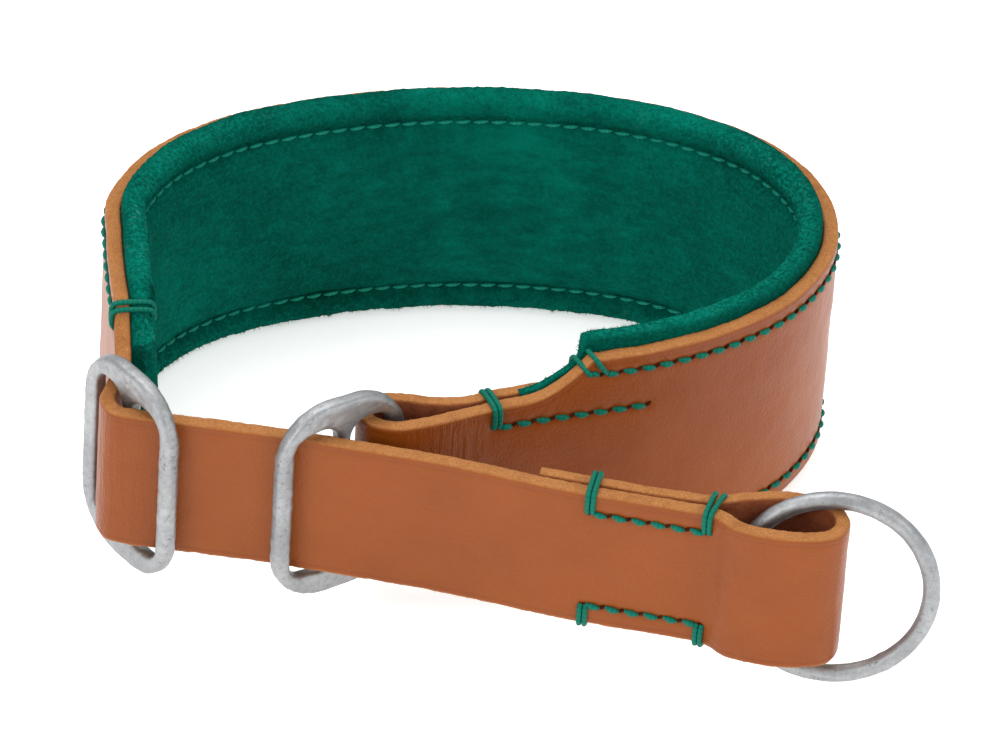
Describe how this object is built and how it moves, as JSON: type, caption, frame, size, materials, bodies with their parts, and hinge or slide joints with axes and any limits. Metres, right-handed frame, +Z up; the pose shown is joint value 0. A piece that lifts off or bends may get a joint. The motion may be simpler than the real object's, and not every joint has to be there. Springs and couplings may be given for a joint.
{
  "type": "martingale dog collar",
  "caption": "Padded leather martingale dog collar: lined band, narrow control strap woven through two-window metal slides, and a round lead ring in a sewn fold.",
  "frame": {"origin": "middle of the collar's bounding box in plan, at the height of the lining's lower rim", "axes": "+X along the front control strap towards the lead ring, +Y from the front strap towards the back of the neck, +Z up, across the band's width"},
  "size_m": [0.136, 0.1084, 0.0422],
  "materials": {
    "cognac_leather": "smooth vegetable-tanned grain with raw, lighter cut edges",
    "suede_lining": "brushed green suede",
    "foam_padding": "soft felt or foam, hidden",
    "waxed_thread": "waxed green thread",
    "tumbled_metal": "tumbled antique silver plating, pitted"
  },
  "bodies": {
    "band_left": {"band_leather_left": "cognac_leather", "stop_ring_bend": "cognac_leather", "control_strap": "cognac_leather", "lead_ring_fold": "cognac_leather", "strap_sewn_end": "cognac_leather", "suede_lining_left": "suede_lining", "foam_padding_left": "foam_padding", "band_seam_top_left": "waxed_thread", "band_seam_bottom_left": "waxed_thread", "strap_seam_top": "waxed_thread", "strap_seam_bottom": "waxed_thread"},
    "band_right": {"band_leather_right": "cognac_leather", "slide_ring_fold": "cognac_leather", "tongue_tucked_end": "cognac_leather", "suede_lining_right": "suede_lining", "foam_padding_right": "foam_padding", "band_seam_top_right": "waxed_thread", "band_seam_bottom_right": "waxed_thread", "tongue_seam_top": "waxed_thread", "tongue_seam_bottom": "waxed_thread"},
    "slide_ring": {"slide_ring": "tumbled_metal"},
    "stop_ring": {"stop_ring": "tumbled_metal"},
    "lead_ring": {"lead_ring": "tumbled_metal"}
  },
  "joints": [
    {"name": "band_flex", "type": "hinge", "parent": "band_left", "child": "band_right", "pos_m": [-0.00899, 0.05288, 0.0216], "axis": [0, 0, 1], "range_deg": [-6, 6], "stiffness_Nm_per_rad": 0.2},
    {"name": "slide_ring_swivel", "type": "hinge", "parent": "band_right", "child": "slide_ring", "pos_m": [-0.01846, -0.02894, 0.0216], "axis": [0, 0, 1], "range_deg": [-6, 6]},
    {"name": "stop_ring_rock", "type": "hinge", "parent": "band_left", "child": "stop_ring", "pos_m": [-0.05946, -0.0307, 0.0216], "axis": [0, 0, 1], "range_deg": [-5, 5]},
    {"name": "lead_ring_spin", "type": "hinge", "parent": "band_left", "child": "lead_ring", "pos_m": [0.05121, -0.04762, 0.0196], "axis": [-0.0346, -0.9908, 0.1305], "continuous": true}
  ],
  "couplings": [
    {"joint": "slide_ring_swivel", "follows": "band_flex", "ratio": -1}
  ]
}
